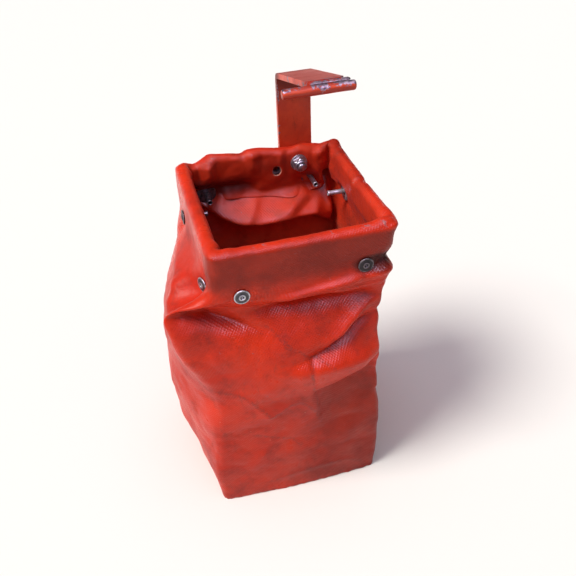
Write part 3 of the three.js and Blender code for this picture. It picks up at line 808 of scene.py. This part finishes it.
def open_spare_hole(points):
    """Pushes the cloth back from the empty bolt hole, so that the face left at its middle can be cut out."""
    offset = points[..., (0, 2)] - np.array(SPARE_HOLE)
    distance = np.linalg.norm(offset, axis=-1)
    reach = 11.0
    near = (distance < reach) & on_back_flap(points[..., 1])
    pushed = HOLE_RADIUS + distance * (reach - HOLE_RADIUS) / reach
    scale = np.where(near, pushed / np.maximum(distance, 1e-6), 1.0)
    for axis, k in ((0, 0), (2, 1)):
        moved = SPARE_HOLE[k] + offset[..., k] * scale
        points[..., axis] = np.where(near, moved, points[..., axis])


def bell(s, middle, width, power=1.6):
    return np.exp(-(np.abs(s - middle) / width) ** power)


def rim_crumple(grid):
    """Small dents and puckers on the roll and flap, stronger at the corners and along the back."""
    near_corner = bell(np.minimum(PLACES % 1, 1 - PLACES % 1), 0, 0.09, 2)
    along_back = np.interp(PLACES, [1.9, 2.1, 2.9, 3.05], [0, 1, 1, 0])
    strength = 0.22 + 1.2 * near_corner + 0.38 * along_back + 0.7 * bell(PLACES, 1.0, 0.1, 2)
    du = np.roll(grid, -1, axis=1) - np.roll(grid, 1, axis=1)
    dv = np.gradient(grid, axis=0)
    normal = np.cross(du, dv)
    normal /= np.maximum(np.linalg.norm(normal, axis=2, keepdims=True), 1e-9)
    for i in range(len(grid)):
        for j in range(LOOP):
            place = Vector(grid[i, j])
            pucker = crumple(place, 15, 5) * 2.4 + crumple(place, 7.5, 6) * 0.9
            calm = 1 - 0.95 * math.exp(-(rivet_distance(PLACES[j], place.z) / 14) ** 4)
            grid[i, j] += normal[i, j] * pucker * strength[j] * calm * min(1, i / 3)


def dress_flaps(grid):
    """Named folds of the roll and flaps: the pleat at the back left, the slit at the back right. The cloth
    swells inwards beside each, so that the steel frame behind it stays covered."""
    rows = np.arange(len(grid))
    roll_middle = ROLL_STEPS * 0.5
    ease = np.interp(rows, [0, roll_middle, ROLL_STEPS, ROLL_STEPS + 5, ROLL_STEPS + 9], [0, 0.35, 1, 1, 0])
    deep = np.interp(rows, [0, roll_middle, ROLL_STEPS, len(grid) - 1], [0, 0.3, 1, 1])

    def push(axis, by_row, side, *bells):
        """Moves one side, or any, by bells of amount, place, width and power."""
        amount = sum(height * bell(PLACES, *shape) for height, *shape in bells)
        if side:
            amount = amount * (np.floor(PLACES) == SIDES.index(side))
        grid[:, :, "xy".index(axis)] += by_row[:, None] * amount[None, :]

    push("y", ease, "back", (-4.4, 2.865, 0.035), (2.6, 2.93, 0.022), (-2.6, 2.56, 0.035, 1.3),
         (1.0, 2.49, 0.03), (-2.2, 2.36, 0.02, 1.3), (-2.2, 2.16, 0.03, 1.3))
    push("y", deep, "back", (-4.2, 2.085, 0.045, 2))
    push("x", deep, "right", (-2.2, 1.92, 0.04, 2))
    push("x", ease, "right", (-1.6, 1.52, 0.03, 1.3))
    push("x", ease, "left", (2.0, 3.05, 0.03), (1.4, 3.95, 0.03))
    push("y", deep, None, (3.6, 2.012, 0.014, 2))
    push("x", deep, None, (2.16, 2.012, 0.014, 2))


def wear_of(rows):
    """How worn and dirty the cloth is at each point, 0 to 1, along its thin creases."""
    s = np.broadcast_to(PLACES, rows.shape[:2])
    lines = [[(*point, 1.0) for point in line] for line in WORN_LINES]
    return np.max([fold_amount((line, 1.8, 1.8, 1.6), s, rows[..., 2]) for line in lines], axis=0)


def bag_cloth(wall, material):
    profile = hem_profile(wall)
    grid = np.array([np.column_stack([corner_square(inset), height]) for inset, height in profile])
    for index, (inset, _) in enumerate(profile):
        passes = int(np.interp(inset.mean(), [0, 5, 10, 13], [8, 7, 4, 3]))
        grid[index:index + 1] = smooth_loop(grid[index:index + 1], corner_weight(4.0), passes)
    dress_flaps(grid)
    rim_crumple(grid)
    open_spare_hole(grid)
    return build_cloth("bag_cloth", np.concatenate([wall, grid]), len(wall), material)


def build_cloth(name, rows, wall_end, material):
    """One mesh from the loop's rows; the flaps below the frame are cut apart at the corners."""
    roll_end = wall_end + ROLL_STEPS
    bm = bmesh.new()
    uv_layer = bm.loops.layers.uv.new("flat")
    wear_layer = bm.verts.layers.float.new("wear")
    edge_layer = bm.verts.layers.float.new("raw_edge")
    verts = [[bm.verts.new(Vector(point) * MM) for point in row] for row in rows]
    worn = wear_of(rows)
    for i, row in enumerate(verts):
        for j, vert in enumerate(row):
            x, y, z = rows[i, j]
            around_hole = on_back_flap(y) and math.hypot(x - SPARE_HOLE[0], z - SPARE_HOLE[1]) < 6.0
            cut_edge = i == len(rows) - 1 and COLUMNS < j < 2 * COLUMNS
            vert[wear_layer] = float(worn[i, j]) if i < wall_end else 0.0
            vert[edge_layer] = 1.0 if cut_edge or around_hole else 0.0
    steps = np.linalg.norm(np.diff(rows, axis=0), axis=2).mean(axis=1)
    v_at = np.concatenate([[0], np.cumsum(steps)]) * MM
    width = SIDE / COLUMNS * MM
    hole = Vector((SPARE_HOLE[0], 0, SPARE_HOLE[1])) * MM
    for i in range(len(rows) - 1):
        for j in range(LOOP):
            m = (j + 1) % LOOP
            corners = (verts[i][j], verts[i][m], verts[i + 1][m], verts[i + 1][j])
            if i >= roll_end:
                middle = sum((v.co for v in corners), Vector()) / 4
                beside_corner = j % COLUMNS < 4 or j % COLUMNS > COLUMNS - 6
                in_slit = beside_corner and middle.z < SLIT_TOP
                at_hole = math.hypot(middle.x - hole.x, middle.z - hole.z) < 0.0030
                if in_slit or (at_hole and COLUMNS * 2 < j < COLUMNS * 3):
                    continue
            face = bm.faces.new(corners)
            for loop, (uu, vv) in zip(face.loops, ((j, i), (j + 1, i), (j + 1, i + 1), (j, i + 1))):
                loop[uv_layer].uv = (uu * width, v_at[vv])
    loose = [v for v in bm.verts if not v.link_faces]
    bmesh.ops.delete(bm, geom=loose, context="VERTS")
    piece = from_bmesh(name, bm, material, turn_outwards=False)
    thicken(piece, CLOTH)
    refine(piece)
    apply_modifiers(piece)
    shade(piece.data)
    return piece


def bag_base(wall, material):
    """The base: a flat square of the same cloth, welded to the wall's foot."""
    bm = bmesh.new()
    uv_layer = bm.loops.layers.uv.new("flat")
    centre = wall[0].mean(axis=0)
    rings = []
    for factor in (1.0, 0.985, 0.9, 0.75, 0.5, 0.25):
        places = centre + (wall[0] - centre) * factor
        rings.append([bm.verts.new((x * MM, y * MM, BASE_LEVEL * MM)) for x, y, _ in places])
    middle = bm.verts.new((centre[0] * MM, centre[1] * MM, BASE_LEVEL * MM))
    skin(bm, rings)
    for j in range(LOOP):
        bm.faces.new((rings[-1][j], rings[-1][(j + 1) % LOOP], middle))
    for face in bm.faces:
        for loop in face.loops:
            loop[uv_layer].uv = loop.vert.co.xy
    piece = from_bmesh("bag_base_cloth", bm, material)
    thicken(piece, CLOTH)
    apply_modifiers(piece)
    return piece


# ---- fasteners
def rivet_matrix(name, side, along, height):
    turn = Matrix.Rotation(SIDES.index(side) * math.pi / 2, 4, "Z")
    tilt = Matrix.Rotation(math.radians(RIVET_TURN.get(name, 0)), 4, "Z")
    return turn @ Matrix.Translation(Vector((along, -MOUTH_HALF, height)) * MM) @ tilt


def rivet(name, matrix, metal):
    flange = 7
    shank = 2.4
    end = 23.3
    # a third number is grime and painted shade: the hole and a ring on the head, under the flange and in the
    # hollow bore
    profile = [(0, -1.5), (0.55, -1.45), (0.8, -1.1, 0.6), (1.0, -0.8, 1), (1.3, -0.8, 1), (1.5, -1.5, 0.7),
               (1.9, -2.0, 0.1), (2.5, -2.05), (3.0, -1.85, 0.5), (3.3, -1.55, 1.0), (4.6, -1.4, 0.95),
               (5.5, -1.15, 0.95), (5.9, -1.05, 0.7), (6.2, -1.2, 0.05), (6.7, -1.15), (flange, -0.8),
               (flange, -0.35, 0.5), (6.6, -0.1, 1), (shank, -0.1), (shank, 4), (shank, 6), (2.45, 9),
               (2.6, 11), (2.45, 13), (shank, 17), (shank, end - 2.2, 0.2), (2.7, end - 1.2),
               (2.75, end - 0.5), (2.5, end - 0.05), (2.1, end), (1.7, end - 0.2, 0.3), (1.5, end - 0.9, 1),
               (1.45, end - 7, 1), (0, end - 7, 1)]
    piece = lathe(f"rivet_{name}_body", profile, metal, matrix)
    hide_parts(f"rivet_{name}")
    return piece


def backing_washer(name, matrix, metal):
    start = 4.65
    end = 5.8
    hole = 2.6
    outer = 10
    profile = [(hole, start), (outer - 0.2, start), (outer, start + 0.3), (outer, end - 0.35),
               (outer - 0.4, end), (hole + 0.3, end), (hole, end - 0.3), (hole, start)]
    piece = lathe(f"rivet_washer_{name}_disc", profile, metal, matrix)
    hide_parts(f"rivet_washer_{name}")
    return piece


def bolt_matrix():
    return Matrix.Translation(Vector((BOLT_X, 0, BOLT_Z)) * MM)


def hexagon(name, start, end, chamfer, metal):
    """A hexagonal prism on the bolt's axis with its corners turned down at both ends, in mm."""
    half = BOLT_FLATS / 2
    corner = half / math.cos(math.pi / 6)
    turned = half * 0.98
    points = 72
    bm = bmesh.new()
    rings = []
    for along, limit in ((start, turned), (start + chamfer, corner), (end - chamfer, corner), (end, turned)):
        ring = []
        for k in range(points):
            angle = 2 * math.pi * k / points
            folded = (angle + math.pi / 6) % (math.pi / 3) - math.pi / 6
            radius = min(half / math.cos(folded), limit)
            place = Vector((radius * math.cos(angle), along, radius * math.sin(angle)))
            ring.append(bm.verts.new(place * MM))
        rings.append(ring)
    skin(bm, rings, capped=True)
    bmesh.ops.transform(bm, matrix=bolt_matrix(), verts=bm.verts)
    return from_bmesh(name, bm, metal, smooth=False)


def bracket_bolt(metal):
    threads = []
    tip = 57.0
    pitch = 1.25
    along = tip + 1.2
    while along < 62:
        threads += [(3.95, along), (3.5, along + 0.62)]
        along += pitch
    profile = [(0, tip), (2.6, tip), (3.3, tip + 0.5)] + threads + [(4, 64), (4, 90.6), (0, 90.6)]
    shank = lathe("bracket_bolt_shank", profile, metal, bolt_matrix())
    head = hexagon("bracket_bolt_head", 90.8, 96.1, 0.7, metal)
    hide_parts("bracket_bolt")
    return [shank, head]


def bracket_nut(metal):
    body = hexagon("bracket_nut_body", 61.8, 67.8, 0.8, metal)
    profile = [(4.1, 62), (5.9, 62), (5.8, 60.6), (5.2, 59.9), (4.4, 59.8), (4.1, 60.2), (4.1, 62)]
    collar = lathe("bracket_nut_collar", profile, metal, bolt_matrix())
    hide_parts("bracket_nut")
    return [body, collar]


def bolt_washer(name, front, metal):
    back = front + 1.6
    hole = 4.3
    outer = 8.5
    profile = [(hole, front), (8.2, front), (outer, front + 0.3), (outer, back - 0.3), (8.2, back),
               (hole, back), (hole, front)]
    piece = lathe(f"{name}_disc", profile, metal, bolt_matrix())
    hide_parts(name)
    return piece


# ---- bracket
RISE = math.radians(16.5)
FORWARD = Vector((-math.cos(RISE), math.sin(RISE)))       # (y, z) along the plate
UPWARD = Vector((math.sin(RISE), math.cos(RISE)))         # (y, z) through it
STRAP_WIDTH = 33.0
STRAP_THICK = 5.0
STRAP_MIDDLE_X = 1                                        # from the bolt
STRAP_MIDDLE_Y = 86.1
BEND_RADIUS = 6.5
BEND_CENTRE = Vector((79.6, 79.5))                        # (y, z), z from the bolt
PLATE_LENGTH = 98.0
PLATE_START = BEND_CENTRE + UPWARD * BEND_RADIUS
PLATE_FRONT = PLATE_START + FORWARD * PLATE_LENGTH
PLATE_FRONT_BOTTOM = PLATE_FRONT - UPWARD * (STRAP_THICK / 2)


def bracket_matrix():
    return bolt_matrix() @ Matrix.Rotation(math.radians(BRACKET_LEAN), 4, "Y")


def strap_path():
    """Middle line of the bent bar as (y, z, half width), from its round lower end to the plate's front."""
    half = STRAP_WIDTH / 2
    path = []
    for k in range(13):
        angle = math.pi / 2 * (1 - k / 12)
        path.append((STRAP_MIDDLE_Y, -half * math.sin(angle), max(half * math.cos(angle), 0.9)))
    for z in np.linspace(4, BEND_CENTRE.y - 2, 16):
        path.append((STRAP_MIDDLE_Y, z, half))
    bend = math.pi / 2 - RISE
    for k in range(10):
        angle = bend * k / 9
        place = BEND_CENTRE + Vector((math.cos(angle), math.sin(angle))) * BEND_RADIUS
        path.append((place.x, place.y, half))
    corner = 4.5
    for a in np.linspace(5, PLATE_LENGTH - corner, 18):
        place = PLATE_START + FORWARD * a
        path.append((place.x, place.y, half))
    for k in range(1, 8):
        angle = math.pi / 2 * k / 7
        place = PLATE_START + FORWARD * (PLATE_LENGTH - corner + corner * math.sin(angle))
        path.append((place.x, place.y, half - corner + corner * math.cos(angle)))
    return path


def hook_strap(material):
    across = 12
    bm = bmesh.new()
    rows = []
    for y, z, half in strap_path():
        offsets = [STRAP_MIDDLE_X + half * (2 * k / across - 1) for k in range(across + 1)]
        rows.append([bm.verts.new(Vector((x, y, z)) * MM) for x in offsets])
    skin(bm, rows, closed=False)
    piece = from_bmesh("hook_strap_bar", bm, material)
    thicken(piece, STRAP_THICK).use_even_offset = True
    apply_modifiers(piece)
    bm = bmesh.new()
    radius = HOLE_RADIUS * MM
    across_strap = Matrix.Translation((0, STRAP_MIDDLE_Y * MM, 0)) @ Matrix.Rotation(math.pi / 2, 4, "X")
    bmesh.ops.create_cone(bm, cap_ends=True, segments=40, radius1=radius, radius2=radius, depth=0.02,
                          matrix=across_strap)
    cutter = from_bmesh("hole_cutter", bm, material)
    cut = piece.modifiers.new("hole", "BOOLEAN")
    cut.object = cutter
    cut.operation = "DIFFERENCE"
    edges = piece.modifiers.new("edges", "BEVEL")
    edges.width = 0.9 * MM
    edges.segments = 3
    edges.limit_method = "ANGLE"
    edges.angle_limit = math.radians(50)
    apply_modifiers(piece)
    bpy.data.objects.remove(cutter)
    bm = bmesh.new()
    bm.from_mesh(piece.data)
    for vert in bm.verts:
        uneven = 0.10 * noise.noise(vert.co / MM / 24)
        vert.co += vert.normal * uneven * MM
    bm.to_mesh(piece.data)
    bm.free()
    piece.data.transform(bracket_matrix())
    shade(piece.data)
    shading = piece.modifiers.new("shading", "WEIGHTED_NORMAL")
    shading.keep_sharp = True
    apply_modifiers(piece)
    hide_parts("hook_strap")
    return piece


def swept_blob(name, ring_at, stations, material, node):
    """Skins closed rings, given as lists of (x, y, z) in mm about the bolt, and caps both ends."""
    bm = bmesh.new()
    skin(bm, [[bm.verts.new(Vector(point) * MM) for point in ring_at(x)] for x in stations], capped=True)
    piece = from_bmesh(name, bm, material)
    refine(piece)
    apply_modifiers(piece)
    piece.data.transform(bracket_matrix())
    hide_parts(node)
    return piece


def at_plate_front(a, h):
    """(y, z) of a place ahead of the plate's lower front edge by a, and above it by h, square to the plate."""
    return PLATE_FRONT_BOTTOM + FORWARD * a + UPWARD * h


def hook_rod(material):
    """A round bar with hammered, paint-filled unevenness and blunt rounded ends."""
    centre = at_plate_front(4.3 * math.cos(math.radians(-29)), 4.3 * math.sin(math.radians(-29)))
    left, right, radius = -37.4, 24.8, 4.25
    blunt = 1.7

    def ring(x):
        inset = max(0, blunt - min(x - left, right - x))
        plain = radius - blunt + math.sqrt(max(blunt ** 2 - inset ** 2, 0.0))
        points = []
        for k in range(28):
            angle = 2 * math.pi * k / 28
            lump = noise.noise(Vector((x / 6, 3 * math.cos(angle), 3 * math.sin(angle)))) * 0.2
            dent = noise.noise(Vector((x / 22, 1.5 * math.cos(angle), 9 + math.sin(angle)))) * 0.2
            r = plain + (lump + dent - 0.05) * min(1, (x - left) / 2, (right - x) / 2)
            points.append((x, centre.x + r * math.cos(angle), centre.y + r * math.sin(angle)))
        return points

    ends = [0, 0.15, 0.5, 1.0, blunt]
    middle = list(np.linspace(left + 3, right - 3, 44))
    stations = [left + e for e in ends] + middle + [right - e for e in ends[::-1]]
    return swept_blob("hook_rod_bar", ring, stations, material, "hook_rod")


def weld(name, node, outline, material, end):
    """An uneven hand-laid bead filling the outline (a forward, h up, from the plate's lower front edge)."""
    points = [Vector(p) for p in outline]
    middle = sum(points, Vector((0, 0))) / len(points)
    start = 1 - 14.6

    def ring(x):
        taper = min(1.0, 0.35 + (x - start) / 3, 0.35 + (end - x) / 3)
        ripple = 1 + 0.10 * math.sin(x * 2.3) + 0.10 * noise.noise(Vector((x / 3, 0, 4)))
        places = [at_plate_front(*(middle + (point - middle) * taper * min(ripple, 1.08))) for point in points]
        return [(x, place.x, place.y) for place in places]

    return swept_blob(name, ring, list(np.linspace(start, end, 34)), material, node)


# ---- assembly
make_camera()
make_studio()

cloth = coated_cloth()
paint = chipped_paint()
zinc = steel("zinc_steel", colour(186, 182, 194), colour(128, 122, 136), 0.26, 0.9)
rivet_steel = steel("rivet_steel", colour(196, 196, 204), colour(140, 138, 148), 0.32, 0.7)
# painted shade: a darker copy of the rivet steel for fasteners that sit in shade
steel_in_shade = steel("steel_painted_shade", colour(112, 104, 108), colour(48, 40, 42), 0.34, 0.7)
dull = steel("dull_steel", colour(170, 162, 172), colour(104, 92, 102), 0.36, 0.7)

shaped_wall = shape_wall()
bag = bag_cloth(shaped_wall, cloth)
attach(bag, "bag")
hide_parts("front_panel", "right_panel", "back_panel", "left_panel")
base = bag_base(shaped_wall, cloth)
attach(base, "bag")
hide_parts("bag_bottom")

for rivet_name, *rivet_place in RIVETS:
    # painted shade: darker steel for the rivet in the slot, two more in shade, and the back left washer
    rivet_metal = steel_in_shade if rivet_name in ("front_right", "back_left", "left_back") else rivet_steel
    washer_metal = {"back_right": paint, "back_left": steel_in_shade}.get(rivet_name, dull)
    setting = rivet_matrix(rivet_name, *rivet_place)
    for part in (rivet(rivet_name, setting, rivet_metal), backing_washer(rivet_name, setting, washer_metal)):
        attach(part, "bag")

for part in bracket_bolt(zinc) + bracket_nut(zinc) + [
        bolt_washer("bracket_washer_inner", 68.1, zinc), bolt_washer("bracket_washer_outer", 88.9, zinc)]:
    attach(part, "bag")

top_bead = [(0.1, 4.7), (0.1, 2.6), (0.3, 0.9), (1.5, 1.7), (3.0, 2.1), (4.4, 2.4), (5.2, 2.7), (3.6, 3.6),
            (1.9, 4.5)]
lower_bead = [(-0.5, -0.3), (-1.8, -0.3), (-3.2, -0.3), (-2.3, -1.6), (-1.0, -2.9), (-0.75, -1.6)]
for part in (hook_strap(paint), hook_rod(paint),
             weld("hook_weld_top_bead", "hook_weld_top", top_bead, paint, 21.5),
             weld("hook_weld_under_bead", "hook_weld_under", lower_bead, paint, 15.6)):
    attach(part, "bracket")

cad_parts["rim_frame"].data.materials[0] = dull
